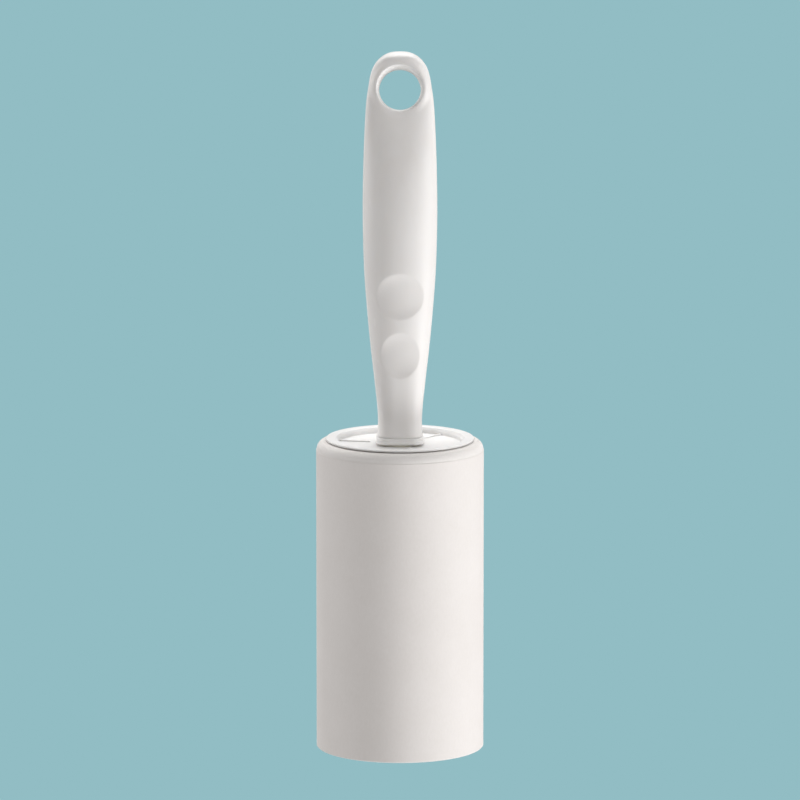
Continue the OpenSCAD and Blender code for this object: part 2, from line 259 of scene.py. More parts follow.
def make_mesh(name, points, faces, sharp=40):
    """A mesh object from points in millimetres, smooth but for edges over the sharp angle."""
    mesh = bpy.data.meshes.new(name)
    mesh.from_pydata([Vector(p) * MM for p in points], [], faces)
    mesh.validate()
    bm = bmesh.new()
    bm.from_mesh(mesh)
    bmesh.ops.remove_doubles(bm, verts=bm.verts, dist=2e-6)
    bmesh.ops.recalc_face_normals(bm, faces=bm.faces)
    bm.to_mesh(mesh)
    bm.free()
    mesh.shade_smooth()
    mesh.set_sharp_from_angle(angle=math.radians(sharp))
    obj = bpy.data.objects.new(name, mesh)
    bpy.context.scene.collection.objects.link(obj)
    return obj


def apply_modifiers(obj):
    bpy.context.view_layer.objects.active = obj
    for m in list(obj.modifiers):
        bpy.ops.object.modifier_apply(modifier=m.name)


def add_wall(obj, thickness, face, outward):
    """Gives a skin a wall on its inner side: the face should look along outward."""
    if face.normal.dot(outward) < 0:
        obj.data.flip_normals()
    solid = obj.modifiers.new("wall", "SOLIDIFY")
    solid.thickness = thickness * MM
    solid.offset = -1


def strip_faces(rows, columns):
    """Faces of a sheet of rows by columns, whose points are listed row by row."""
    n = columns + 1
    return [(i * n + k, i * n + k + 1, (i + 1) * n + k + 1, (i + 1) * n + k)
            for i in range(rows) for k in range(columns)]


def ring_faces(rows, n):
    """Faces between closed rings of n points each."""
    return [(i * n + k, i * n + (k + 1) % n, (i + 1) * n + (k + 1) % n, (i + 1) * n + k)
            for i in range(rows) for k in range(n)]


def end_faces(rows, n):
    """The two faces that close a stack of rings."""
    return [tuple(range(n)), tuple(rows * n + k for k in reversed(range(n)))]


def place(obj, body, slot, material, *nodes):
    """Puts a finished piece on its body, in place of the CAD nodes it stands for."""
    obj.data.materials.clear()
    obj.data.materials.append(material)
    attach(obj, body)
    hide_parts(*nodes)
    return obj


def rounded(corners, steps=5):
    """Closed outline with round corners: each corner is (x, y, radius)."""
    out = []
    n = len(corners)
    for i in range(n):
        x, y, r = corners[i]
        p = Vector((x, y))
        if r <= 0:
            out.append(p)
            continue
        a = (Vector(corners[i - 1][:2]) - p).normalized()
        b = (Vector(corners[(i + 1) % n][:2]) - p).normalized()
        half = a.angle(b) / 2
        cut = r / math.tan(half)
        mid = p + (a + b).normalized() * (r / math.sin(half))
        start, end = p + a * cut - mid, p + b * cut - mid
        turn = start.angle_signed(end)
        for k in range(steps + 1):
            out.append(mid + Matrix.Rotation(-turn * k / steps, 2) @ start)
    return out


def lathe(outline, segments=192, start=0, sweep=360):
    """Points and faces of a closed outline of (radius, height) turned about Z."""
    full = abs(sweep) >= 360
    rows = segments if full else segments + 1
    n = len(outline)
    points, faces = [], []
    for i in range(rows):
        a = math.radians(start + sweep * i / segments)
        points += [(p[0] * math.cos(a), p[0] * math.sin(a), p[1]) for p in outline]
    for i in range(segments):
        j = (i + 1) % rows
        for k in range(n):
            m = (k + 1) % n
            faces.append((i * n + k, j * n + k, j * n + m, i * n + m))
    if not full:
        faces.append(tuple(range(n)))
        faces.append(tuple((rows - 1) * n + k for k in reversed(range(n))))
    return points, faces


def bar(length, width, height, edge):
    """Points and faces of a bar along X with rounded long edges, its foot at z = 0."""
    section = rounded([(-width / 2, 0, 0), (width / 2, 0, 0),
                       (width / 2, height, edge), (-width / 2, height, edge)], 4)
    n = len(section)
    ends = ((0, 0.6), (edge * 0.6, 0.92), (edge, 1), (length - edge, 1),
            (length - edge * 0.6, 0.92), (length, 0.6))
    points = [(x, p.x * s, p.y * s) for x, s in ends for p in section]
    rows = len(ends) - 1
    return points, ring_faces(rows, n) + end_faces(rows, n)


def merged(*parts):
    """One list of points and faces from several."""
    points, faces = [], []
    for p, f in parts:
        base = len(points)
        points += list(p)
        faces += [tuple(base + k for k in face) for face in f]
    return points, faces


def turned(part, degrees, lift=0, shift=0):
    """The part moved out along X by shift, up by lift, then turned about Z."""
    move = Matrix.Rotation(math.radians(degrees), 4, "Z") @ Matrix.Translation((shift, 0, lift))
    points, faces = part
    return [move @ Vector(p) for p in points], faces


# ---- Materials ----

def new_material(name):
    mat = bpy.data.materials.new(name)
    mat.use_nodes = True
    nodes = mat.node_tree.nodes
    return mat, nodes, mat.node_tree.links, nodes["Principled BSDF"]


def noise_node(nodes, links, coords, scale, detail=4.0, rough=0.55, squash=None):
    node = nodes.new("ShaderNodeTexNoise")
    node.inputs["Scale"].default_value = scale
    node.inputs["Detail"].default_value = detail
    node.inputs["Roughness"].default_value = rough
    source = coords
    if squash:
        mapping = nodes.new("ShaderNodeMapping")
        mapping.inputs["Scale"].default_value = squash
        links.new(coords, mapping.inputs["Vector"])
        source = mapping.outputs["Vector"]
    links.new(source, node.inputs["Vector"])
    return node.outputs["Fac"]


def ramp_node(nodes, links, value, low, high, colour_a, colour_b):
    node = nodes.new("ShaderNodeValToRGB")
    node.color_ramp.elements[0].position = low
    node.color_ramp.elements[0].color = (*colour_a, 1)
    node.color_ramp.elements[1].position = high
    node.color_ramp.elements[1].color = (*colour_b, 1)
    links.new(value, node.inputs["Fac"])
    return node.outputs["Color"]


def map_node(nodes, links, value, from_low, from_high, to_low, to_high):
    node = nodes.new("ShaderNodeMapRange")
    for key, v in zip(("From Min", "From Max", "To Min", "To Max"),
                      (from_low, from_high, to_low, to_high)):
        node.inputs[key].default_value = v
    links.new(value, node.inputs["Value"])
    return node.outputs["Result"]


def math_node(nodes, links, kind, a, b=None):
    node = nodes.new("ShaderNodeMath")
    node.operation = kind
    for socket, v in zip(node.inputs, (a, b)):
        if v is None:
            continue
        if isinstance(v, (int, float)):
            socket.default_value = v
        else:
            links.new(v, socket)
    return node.outputs["Value"]


def mix_node(nodes, links, blend, factor, a, b):
    node = nodes.new("ShaderNodeMix")
    node.data_type = "RGBA"
    node.blend_type = blend
    if isinstance(factor, (int, float)):
        node.inputs["Factor"].default_value = factor
    else:
        links.new(factor, node.inputs["Factor"])
    for key, v in (("A", a), ("B", b)):
        socket = next(s for s in node.inputs if s.name == key and s.type == "RGBA")
        if isinstance(v, tuple):
            socket.default_value = (*v, 1)
        else:
            links.new(v, socket)
    return next(s for s in node.outputs if s.type == "RGBA")


def bump_chain(nodes, links, shader, heights):
    """Bump nodes in a row: heights is a list of (height socket, strength, distance in m)."""
    normal = None
    for height, strength, distance in heights:
        node = nodes.new("ShaderNodeBump")
        node.inputs["Strength"].default_value = strength
        node.inputs["Distance"].default_value = distance
        links.new(height, node.inputs["Height"])
        if normal:
            links.new(normal, node.inputs["Normal"])
        normal = node.outputs["Normal"]
    links.new(normal, shader.inputs["Normal"])


def object_coords(nodes):
    return nodes.new("ShaderNodeTexCoord").outputs["Object"]


def edge_wear(nodes, links, colour, worn, low=0.52, high=0.6, amount=0.5):
    """Lightens convex edges a little."""
    geometry = nodes.new("ShaderNodeNewGeometry")
    mask = map_node(nodes, links, geometry.outputs["Pointiness"], low, high, 0, amount)
    return mix_node(nodes, links, "MIX", mask, colour, worn)


def plastic(name, colour, warm, roughness, grain=0.05, subsurface=0.12):
    """Moulded plastic: fine grain, faint flow marks, slightly uneven gloss, worn edges."""
    mat, nodes, links, shader = new_material(name)
    at = object_coords(nodes)
    cloud = noise_node(nodes, links, at, 90, 3)
    flow = noise_node(nodes, links, at, 160, 4, 0.6, (1, 1, 0.12))
    fine = noise_node(nodes, links, at, 5200, 2, 0.5)
    skin = noise_node(nodes, links, at, 1400, 3, 0.6)
    base = ramp_node(nodes, links, cloud, 0.35, 0.65, warm, colour)
    streak = ramp_node(nodes, links, flow, 0.4, 0.7, (0.97, 0.968, 0.965), (1, 1, 1))
    base = mix_node(nodes, links, "MULTIPLY", 1.0, base, streak)
    worn = tuple(min(1, c * 1.05) for c in colour)
    links.new(edge_wear(nodes, links, base, worn), shader.inputs["Base Color"])
    links.new(map_node(nodes, links, skin, 0.3, 0.7, roughness - 0.04, roughness + 0.05),
              shader.inputs["Roughness"])
    shader.inputs["IOR"].default_value = 1.49
    shader.inputs["Subsurface Weight"].default_value = subsurface
    shader.inputs["Subsurface Radius"].default_value = (1.0, 0.85, 0.7)
    shader.inputs["Subsurface Scale"].default_value = 0.0015
    bump_chain(nodes, links, shader, [(flow, 0.12, 0.00012), (skin, grain, 0.0001),
                                      (fine, grain, 0.00003)])
    return mat


def metal(name, colour, roughness, squash, scale=900):
    """Drawn or turned metal: fine lines one way, small colour and gloss changes."""
    mat, nodes, links, shader = new_material(name)
    at = object_coords(nodes)
    lines = noise_node(nodes, links, at, scale, 4, 0.65, squash)
    cloud = noise_node(nodes, links, at, 220, 3)
    dark = tuple(c * 0.86 for c in colour)
    base = ramp_node(nodes, links, lines, 0.35, 0.7, dark, colour)
    tone = ramp_node(nodes, links, cloud, 0.35, 0.7, (0.93, 0.93, 0.94), (1, 1, 1))
    base = mix_node(nodes, links, "MULTIPLY", 1.0, base, tone)
    worn = tuple(min(1, c * 1.15) for c in colour)
    links.new(edge_wear(nodes, links, base, worn), shader.inputs["Base Color"])
    shader.inputs["Metallic"].default_value = 1.0
    links.new(map_node(nodes, links, lines, 0.3, 0.7, roughness - 0.06, roughness + 0.1),
              shader.inputs["Roughness"])
    bump_chain(nodes, links, shader, [(lines, 0.25, 0.00003)])
    return mat


def radius_and_turn(nodes, links, at):
    """Distance from the Z axis in metres, turn about it from 0 to 1, and height."""
    split = nodes.new("ShaderNodeSeparateXYZ")
    links.new(at, split.inputs["Vector"])
    x, y, z = (split.outputs[k] for k in "XYZ")
    squares = math_node(nodes, links, "ADD", math_node(nodes, links, "MULTIPLY", x, x),
                        math_node(nodes, links, "MULTIPLY", y, y))
    radius = math_node(nodes, links, "SQRT", squares)
    turn = math_node(nodes, links, "DIVIDE", math_node(nodes, links, "ARCTAN2", y, x), TAU)
    return radius, turn, z


def end_mask(nodes, links):
    """1 on faces that look up or down, 0 on upright ones."""
    geometry = nodes.new("ShaderNodeNewGeometry")
    split = nodes.new("ShaderNodeSeparateXYZ")
    links.new(geometry.outputs["Normal"], split.inputs["Vector"])
    facing = math_node(nodes, links, "ABSOLUTE", split.outputs["Z"])
    return map_node(nodes, links, facing, 0.6, 0.95, 0, 1)


def wound_layers(nodes, links, at, base, layer):
    """Darkens the joints of a spiral of layers on the ends: its colour and bump height."""
    radius, turn, _ = radius_and_turn(nodes, links, at)
    wound = math_node(nodes, links, "SUBTRACT",
                      math_node(nodes, links, "DIVIDE", radius, layer), turn)
    gap = math_node(nodes, links, "PINGPONG", math_node(nodes, links, "FRACT", wound), 0.5)
    line = ramp_node(nodes, links, gap, 0.02, 0.16, (0.72, 0.69, 0.65), (1, 1, 1))
    ends = end_mask(nodes, links)
    base = mix_node(nodes, links, "MULTIPLY", ends, base, line)
    height = math_node(nodes, links, "MULTIPLY",
                       map_node(nodes, links, gap, 0.0, 0.25, 0, 1), ends)
    return base, height


def paper(name, colour, warm, layer=0.0, roughness=0.72):
    """Coated paper: soft mottling, fibres, and on the cut ends the wound layers."""
    mat, nodes, links, shader = new_material(name)
    at = object_coords(nodes)
    mottle = noise_node(nodes, links, at, 130, 4, 0.6)
    blotch = noise_node(nodes, links, at, 38, 2, 0.5)
    fibre = noise_node(nodes, links, at, 1500, 4, 0.65, (1, 1, 0.45))
    fine = noise_node(nodes, links, at, 6000, 2, 0.5)
    base = ramp_node(nodes, links, mottle, 0.3, 0.7, warm, colour)
    tone = ramp_node(nodes, links, blotch, 0.3, 0.7, (0.975, 0.973, 0.97), (1, 1, 1))
    base = mix_node(nodes, links, "MULTIPLY", 1.0, base, tone)
    speck = ramp_node(nodes, links, fibre, 0.3, 0.75, (0.965, 0.962, 0.958), (1, 1, 1))
    base = mix_node(nodes, links, "MULTIPLY", 1.0, base, speck)
    bumps = [(mottle, 0.1, 0.0002), (fibre, 0.14, 0.00008), (fine, 0.08, 0.00003)]
    if layer:
        base, height = wound_layers(nodes, links, at, base, layer)
        bumps.append((height, 0.35, 0.00008))
    links.new(base, shader.inputs["Base Color"])
    links.new(map_node(nodes, links, mottle, 0.3, 0.7, roughness - 0.05, roughness + 0.06),
              shader.inputs["Roughness"])
    shader.inputs["IOR"].default_value = 1.45
    shader.inputs["Specular IOR Level"].default_value = 0.35
    bump_chain(nodes, links, shader, bumps)
    return mat


def board(name, colour, dark, strip, ply):
    """Spiral-wound board: fibres, helical strip joins, and plies on its cut ends."""
    mat, nodes, links, shader = new_material(name)
    at = object_coords(nodes)
    radius, turn, z = radius_and_turn(nodes, links, at)
    fibre = noise_node(nodes, links, at, 900, 5, 0.65)
    blotch = noise_node(nodes, links, at, 120, 3)
    base = ramp_node(nodes, links, fibre, 0.3, 0.72, dark, colour)
    tone = ramp_node(nodes, links, blotch, 0.3, 0.7, (0.88, 0.87, 0.85), (1, 1, 1))
    base = mix_node(nodes, links, "MULTIPLY", 1.0, base, tone)
    helix = math_node(nodes, links, "FRACT", math_node(
        nodes, links, "ADD", math_node(nodes, links, "DIVIDE", z, strip), turn))
    join = math_node(nodes, links, "PINGPONG", helix, 0.5)
    seam = ramp_node(nodes, links, join, 0.004, 0.016, (0.6, 0.57, 0.52), (1, 1, 1))
    base = mix_node(nodes, links, "MULTIPLY", 1.0, base, seam)
    plies = math_node(nodes, links, "PINGPONG", math_node(
        nodes, links, "FRACT", math_node(nodes, links, "DIVIDE", radius, ply)), 0.5)
    line = ramp_node(nodes, links, plies, 0.04, 0.2, (0.6, 0.56, 0.5), (1, 1, 1))
    base = mix_node(nodes, links, "MULTIPLY", end_mask(nodes, links), base, line)
    links.new(base, shader.inputs["Base Color"])
    shader.inputs["Roughness"].default_value = 0.85
    shader.inputs["Specular IOR Level"].default_value = 0.25
    bump_chain(nodes, links, shader, [(fibre, 0.4, 0.00012),
                                      (map_node(nodes, links, join, 0, 0.02, 0, 1), 0.4, 0.0002)])
    return mat


SHELL_WHITE = plastic("shell_white", (0.83, 0.812, 0.8), (0.82, 0.797, 0.782), 0.46)
TRIM_WHITE = plastic("trim_white", (0.86, 0.85, 0.84), (0.85, 0.835, 0.82), 0.36, 0.03)
CARRIER_WHITE = plastic("carrier_white", (0.86, 0.855, 0.85), (0.85, 0.84, 0.83), 0.34, 0.03)
NYLON = plastic("natural_nylon", (0.74, 0.71, 0.62), (0.7, 0.66, 0.56), 0.42, 0.04, 0.25)
DRAWN_STEEL = metal("drawn_steel", (0.62, 0.63, 0.65), 0.28, (1, 1, 0.04))
WASHER_STEEL = metal("washer_steel", (0.6, 0.61, 0.62), 0.32, (1, 1, 1), 1600)
SPRING_STEEL = metal("spring_steel", (0.55, 0.56, 0.58), 0.3, (1, 1, 0.05))
SHEET_PAPER = paper("sheet_paper", (0.785, 0.752, 0.735), (0.77, 0.736, 0.716))
WOUND_PAPER = paper("wound_paper", (0.82, 0.795, 0.78), (0.805, 0.776, 0.757), 0.00015)
CORE_BOARD = board("core_board", (0.5, 0.37, 0.24), (0.38, 0.27, 0.16), 0.052, 0.0005)


# ---- Handle ----

def handle_point(z, a):
    """Point on the handle's outside at height z and angle a, in radians, with the dishes."""
    n = through(z, 3)
    x = half_w(z) * signed_power(math.cos(a), 2 / n)
    y = half_d(z) * signed_power(math.sin(a), 2 / n) + lean(z)
    if y < lean(z):
        y += dish_depth(x, z)
    return Vector((x, y, z))


def from_eyelet(p):
    """A point's distance along the hanging hole's axis, and its offset square to it."""
    off = p - EYELET_MID
    along = off.dot(EYELET_AXIS)
    return along, off - EYELET_AXIS * along


def towards_lip(p):
    """Eases the skin near the hanging hole to the height of the eyelet's lip."""
    along, out = from_eyelet(p)
    if out.length > EYELET_OUT + LIP_REACH:
        return p
    lip = math.copysign(EYELET_HALF - LIP_SINK, along)
    keep = smoothstep((out.length - EYELET_OUT) / LIP_REACH)
    return EYELET_MID + out + EYELET_AXIS * (lip + (along - lip) * keep)


def shell_heights(dished):
    """Heights of a shell's rows, closer over the dishes and at the tip."""
    heights = [FOOT_Z]
    while heights[-1] < HANDLE_TOP - TIP_WIDTH_LEN:
        h = (heights[-1] - FOOT_Z) / STRETCH
        step = ROW_STEP if h < HIGH_FROM else HIGH_ROW_STEP
        if dished and any(abs(h - dish[0]) < DISH_H * 0.56 for dish in DISHES):
            step = DISH_ROW_STEP
        heights.append(heights[-1] + step)
    tip = heights.pop()
    return heights + [tip + (HANDLE_TOP - tip) * math.sin(math.pi / 2 * i / TIP_ROWS)
                      for i in range(TIP_ROWS + 1)]


def shell_point(z, a):
    """Point on a shell's outside, with the parting groove and the lip of the hole."""
    p = handle_point(z, a)
    near = (p.y - lean(z)) / GROOVE_W
    if z < HANDLE_TOP - GROOVE_END:
        p.x -= math.copysign(GROOVE_DEPTH * math.exp(-near * near), p.x)
    return towards_lip(p)


def cut_hole(points, faces):
    """The skin without its faces in the hanging hole, the cut edge drawn onto a circle."""
    hole = EYELET_OUT - HOLE_TUCK
    inside = {v for v, p in enumerate(points) if from_eyelet(p)[1].length < hole}
    kept = [f for f in faces if not all(v in inside for v in f)]
    for v in {v for f in kept for v in f if v in inside}:
        along, out = from_eyelet(points[v])
        points[v] = EYELET_MID + out.normalized() * hole + EYELET_AXIS * along
    used = sorted({v for f in kept for v in f})
    index = {v: i for i, v in enumerate(used)}
    return [points[v] for v in used], [tuple(index[v] for v in f) for f in kept]


def shell(name, side, columns):
    """One handle shell, thickened inwards: side is -1 for the thumb side, 1 for the palm."""
    heights = [min(z, HANDLE_TOP - 1e-4) for z in shell_heights(side < 0)]
    points = [shell_point(z, side * math.pi * k / columns)
              for z in heights for k in range(columns + 1)]
    faces = strip_faces(len(heights) - 1, columns)
    obj = make_mesh(name, *cut_hole(points, faces), 60)
    middle = obj.data.polygons[len(obj.data.polygons) // 3]
    add_wall(obj, SHELL_T, middle, Vector((0, side, 0)))
    apply_modifiers(obj)
    return obj


place(shell("thumb_side_shell", -1, 120), "handle", "shell_plastic",
      SHELL_WHITE, "handle_front")
place(shell("palm_side_shell", 1, 96), "handle", "shell_plastic",
      SHELL_WHITE, "handle_rear")


def eyelet():
    """Liner ring of the hanging hole, with rounded mouths."""
    corners = []
    for s in (-1, 1):
        h = s * EYELET_HALF
        mouth = [(EYELET_R, h - s * EYELET_FLARE, 5), (EYELET_OUT - EYELET_LIP, h, 0.25),
                 (EYELET_OUT, h - s * EYELET_LIP, 0)]
        corners += mouth if s < 0 else mouth[::-1]
    points, faces = lathe(rounded(corners, 8), 160)
    spin = Vector((0, 0, 1)).rotation_difference(EYELET_AXIS).to_matrix()
    return make_mesh("hanging_eyelet_ring", [EYELET_MID + spin @ Vector(p) for p in points],
                     faces, 60)


place(eyelet(), "handle", "trim_plastic", TRIM_WHITE, "hanging_eyelet")


def rounded_square(half_x, half_y, corner, steps=16):
    """Corner centres and outward directions around a rounded rectangle."""
    outline = []
    for q in range(4):
        mid = Vector(((half_x - corner) * (1 if q in (0, 3) else -1),
                      (half_y - corner) * (1 if q in (0, 1) else -1)))
        for k in range(steps + 1):
            a = math.pi / 2 * (q + k / steps)
            outline.append((mid, Vector((math.cos(a), math.sin(a)))))
    return outline


def collar():
    """Rounded-square collar of two tiers with soft edges, bored for the axle."""
    low, high = box_mm("neck_collar")
    corner = 3.8
    tier = low.z + 1.15
    # [inset from the outline, height], where no inset means the bore
    profile = [(None, low.z), (1.6, low.z), (0.3, low.z), (0.13, low.z + 0.13),
               (0, low.z + 0.3), (0, tier - 0.2), (0.06, tier - 0.06), (0.2, tier),
               (0.3, tier + 0.05), (0.34, FOOT_Z - 0.25), (0.42, FOOT_Z - 0.06),
               (0.6, FOOT_Z), (1.6, FOOT_Z + 0.02), (None, FOOT_Z + 0.02)]
    outline = rounded_square(high.x, high.y, corner)
    points = []
    for inset, z in profile:
        for mid, way in outline:
            p = mid + way * (corner - (inset or 0))
            if inset is None:
                p = (mid + way * corner).normalized() * (AXLE_R + 0.05)
            points.append((p.x, p.y, z))
    rows, n = len(profile), len(outline)
    faces = [(i * n + k, i * n + (k + 1) % n,
              (i + 1) % rows * n + (k + 1) % n, (i + 1) % rows * n + k)
             for i in range(rows) for k in range(n)]
    return make_mesh("neck_collar_ring", points, faces, 50)


place(collar(), "handle", "trim_plastic", TRIM_WHITE, "neck_collar")


# ---- Carrier ----

def flange():
    """Ribbed disc above the roll, with its hub and spigot."""
    seat = FLOOR_Z - POCKET_T
    corners = [
        (TUBE_R, RIM_Z, 0.1), (FLANGE_R, RIM_Z, 0.08), (FLANGE_R, RIM_TOP, 0.16),
        (TUBE_R, RIM_TOP, 0.8), (RECESS_R, RIM_TOP - RIM_SLOPE, 0.6),
        (RECESS_R, FLOOR_Z, 0.2), (POCKET_R, FLOOR_Z, 0.12), (POCKET_R, seat, 0),
        (BUSH_SEAT_R, seat, 0), (BUSH_SEAT_R, seat - BUSH_SEAT_T, 0),
        (BUSH_R, seat - BUSH_SEAT_T, 0),
        (BUSH_R, TUBE_TOP - HUB_LEN, 0.15), (HUB_R, TUBE_TOP - HUB_LEN, 0.4),
        (HUB_R, TUBE_TOP, 0.5), (SPIGOT_IN, TUBE_TOP, 0.4),
        (SPIGOT_IN, TUBE_TOP - SPIGOT_LEN, 0.2), (SPIGOT_R, TUBE_TOP - SPIGOT_LEN, 0.3),
        (SPIGOT_R, TUBE_TOP, 0), (TUBE_R, TUBE_TOP, 0.1),
    ]
    disc = lathe(rounded(corners, 6), 256)
    rib = bar(RECESS_R + 0.2 - RIB_START, RIB_W, RIB_H + 0.1, 0.3)
    ribs = [turned(rib, a, FLOOR_Z - 0.1, RIB_START) for a in RIB_ANGLES]
    return make_mesh("carrier_disc", *merged(disc, *ribs), 38)


place(flange(), "carrier", "carrier_plastic", CARRIER_WHITE, "carrier_flange")


def windowed_wall(name, radius, low, high, thickness, windows, sharp=40):
    """Tube wall with rectangular windows: each is (middle angle, half angle, low, high)."""
    angles = {i * 3.0 for i in range(120)}
    levels = {low, low + 0.4, low + 0.8, high}
    levels |= {low + (high - low) * i / 40 for i in range(41)}
    for mid, half, a, b in windows:
        angles |= {(mid - half) % 360, (mid + half) % 360}
        levels |= {a, b}
    angles, levels = sorted(angles), sorted(levels)
    points, faces = [], []
    for z in levels:
        lead = 0.4 * max(0, 1 - (z - low) / 0.8) ** 2
        for a in angles:
            r = radius - lead
            points.append((r * math.cos(math.radians(a)), r * math.sin(math.radians(a)), z))
    n = len(angles)
    for i in range(len(levels) - 1):
        mid_z = (levels[i] + levels[i + 1]) / 2
        for k in range(n):
            a, b = angles[k], angles[(k + 1) % n] + (360 if k == n - 1 else 0)
            mid_a = (a + b) / 2
            open_here = any(
                lo < mid_z < hi and abs((mid_a - mid + 180) % 360 - 180) < half
                for mid, half, lo, hi in windows)
            if not open_here:
                m = (k + 1) % n
                faces.append((i * n + k, i * n + m, (i + 1) * n + m, (i + 1) * n + k))
    obj = make_mesh(name, points, faces, sharp)
    face = obj.data.polygons[0]
    add_wall(obj, thickness, face, Vector((face.center.x, face.center.y, 0)))
    bevel = obj.modifiers.new("edges", "BEVEL")
    bevel.width = 0.2 * MM
    bevel.segments = 2
    bevel.limit_method = "ANGLE"
    bevel.angle_limit = math.radians(50)
    apply_modifiers(obj)
    obj.data.shade_smooth()
    obj.data.set_sharp_from_angle(angle=math.radians(sharp))
    return obj


def carrier_wall():
    """Tube of the carrier, with a window for each spring and slots between them."""
    half = math.degrees(math.asin((SPRING_W + 1) / 2 / TUBE_R))
    wide = math.degrees(math.asin(SLOT_W / 2 / TUBE_R))
    windows = [(SPRING_PITCH * i, half, TUBE_MID - WINDOW_LEN / 2, TUBE_MID + WINDOW_LEN / 2)
               for i in range(SPRING_COUNT)]
    for i in range(SPRING_COUNT):
        for mid in (TUBE_MID - SLOT_SHIFT, TUBE_MID + SLOT_SHIFT):
            windows.append((SPRING_PITCH * (i + 0.5), wide, mid - SLOT_LEN / 2,
                            mid + SLOT_LEN / 2))
    return windowed_wall("carrier_barrel", TUBE_R, TUBE_LOW, TUBE_TOP, TUBE_WALL, windows)


place(carrier_wall(), "carrier", "carrier_plastic", CARRIER_WHITE, "carrier_tube")


def end_cap():
    """Bottom disc of the carrier with a bush seat, hub and moulded ring step."""
    seat = CAP_LOW + BUSH_SEAT_T + BUSH_INSET
    corners = [
        (BUSH_R, seat, 0), (BUSH_SEAT_R, seat, 0), (BUSH_SEAT_R, CAP_LOW, 0.2),
        (9.4, CAP_LOW, 0.25), (9.8, CAP_LOW + 0.5, 0.25), (16.6, CAP_LOW + 0.5, 0.25),
        (17, CAP_LOW, 0.25), (TUBE_R, CAP_LOW, 0.5), (TUBE_R, TUBE_LOW, 0.1),
        (SPIGOT_R, TUBE_LOW, 0), (SPIGOT_R, TUBE_LOW + SPIGOT_LEN, 0.3),
        (SPIGOT_IN, TUBE_LOW + SPIGOT_LEN, 0.2), (SPIGOT_IN, TUBE_LOW, 0.3),
        (HUB_R, TUBE_LOW, 0.3), (HUB_R, TUBE_LOW + HUB_LEN, 0.3),
        (BUSH_R, TUBE_LOW + HUB_LEN, 0.1),
    ]
    disc = lathe(rounded(corners, 5), 192)
    rib = bar(7.4, 1.2, 0.5, 0.25)
    flipped = [(x, -y, -z) for x, y, z in rib[0]]
    ribs = [turned((flipped, rib[1]), 60 * i + 30, CAP_LOW + 0.55, 9.5) for i in range(6)]
    return make_mesh("carrier_foot_disc", *merged(disc, *ribs), 38)


place(end_cap(), "carrier", "carrier_plastic", CARRIER_WHITE, "carrier_end_cap")


def spring_strip(name, turn):
    """Bowed leaf spring with rounded edges, narrowing a little at its ends."""
    window_half = WINDOW_LEN / 2
    half = window_half + 4
    crest = math.sqrt((CORE_IN - 0.1) ** 2 - (SPRING_W / 2) ** 2)
    low = math.sqrt(TUBE_IN ** 2 - (SPRING_W / 2) ** 2) - 0.1
    section = rounded([(-SPRING_W / 2, -SPRING_T, 0.2), (SPRING_W / 2, -SPRING_T, 0.2),
                       (SPRING_W / 2, 0, 0.25), (-SPRING_W / 2, 0, 0.25)], 4)
    n, rows = len(section), 72
    points = []
    for i in range(rows + 1):
        u = -half + 2 * half * i / rows
        v = abs(u) / window_half / 0.92
        bow = 0 if v >= 1 else (1 + math.cos(math.pi * v)) / 2
        end = 1 - 0.25 * max(0, (abs(u) - half + 3) / 3) ** 2
        points += [(low + (crest - low) * bow + p.y, p.x * end, TUBE_MID + u) for p in section]
    faces = ring_faces(rows, n) + end_faces(rows, n)
    return make_mesh(name, *turned((points, faces), turn), 50)


for i in range(SPRING_COUNT):
    place(spring_strip(f"grip_spring_strip_{i + 1}", SPRING_PITCH * i), "carrier",
          "spring_steel", SPRING_STEEL, f"grip_spring_{i + 1}")


# ---- Fasteners ----

def washer_ring(name, node, hole, edge):
    low, high = box_mm(node)
    corners = [(hole, low.z, edge), (high.x, low.z, edge), (high.x, high.z, edge),
               (hole, high.z, edge)]
    return make_mesh(name, *lathe(rounded(corners, 4), 96), 50)


place(washer_ring("end_washer_disc", "end_washer", 1.7, 0.15), "handle", "axle_steel",
      WASHER_STEEL, "end_washer")
place(washer_ring("thrust_washer_disc", "thrust_washer", 3.1, 0.12), "handle",
      "bearing_nylon", NYLON, "thrust_washer")


def screw_thread(seat, top):
    """Points and faces of a rolled thread, from the head's seat to the top."""
    pitch, depth, around = 0.5, 0.28, 32
    count = (int((top - seat) / pitch) + 1) * around
    points, faces = [], []
    for i in range(count + 1):
        a = TAU * i / around
        base = seat + pitch * (i / around - 1)
        for r, rise in ((SCREW_R - depth, 0), (SCREW_R, pitch / 2)):
            z = min(max(base + rise, seat - 0.05), top)
            points.append((r * math.cos(a), r * math.sin(a), z))
    for i in range(count):
        faces.append((2 * i, 2 * i + 2, 2 * i + 3, 2 * i + 1))
        if i + around < count:
            j = i + around
            faces.append((2 * i + 1, 2 * i + 3, 2 * j + 2, 2 * j))
    return points, faces


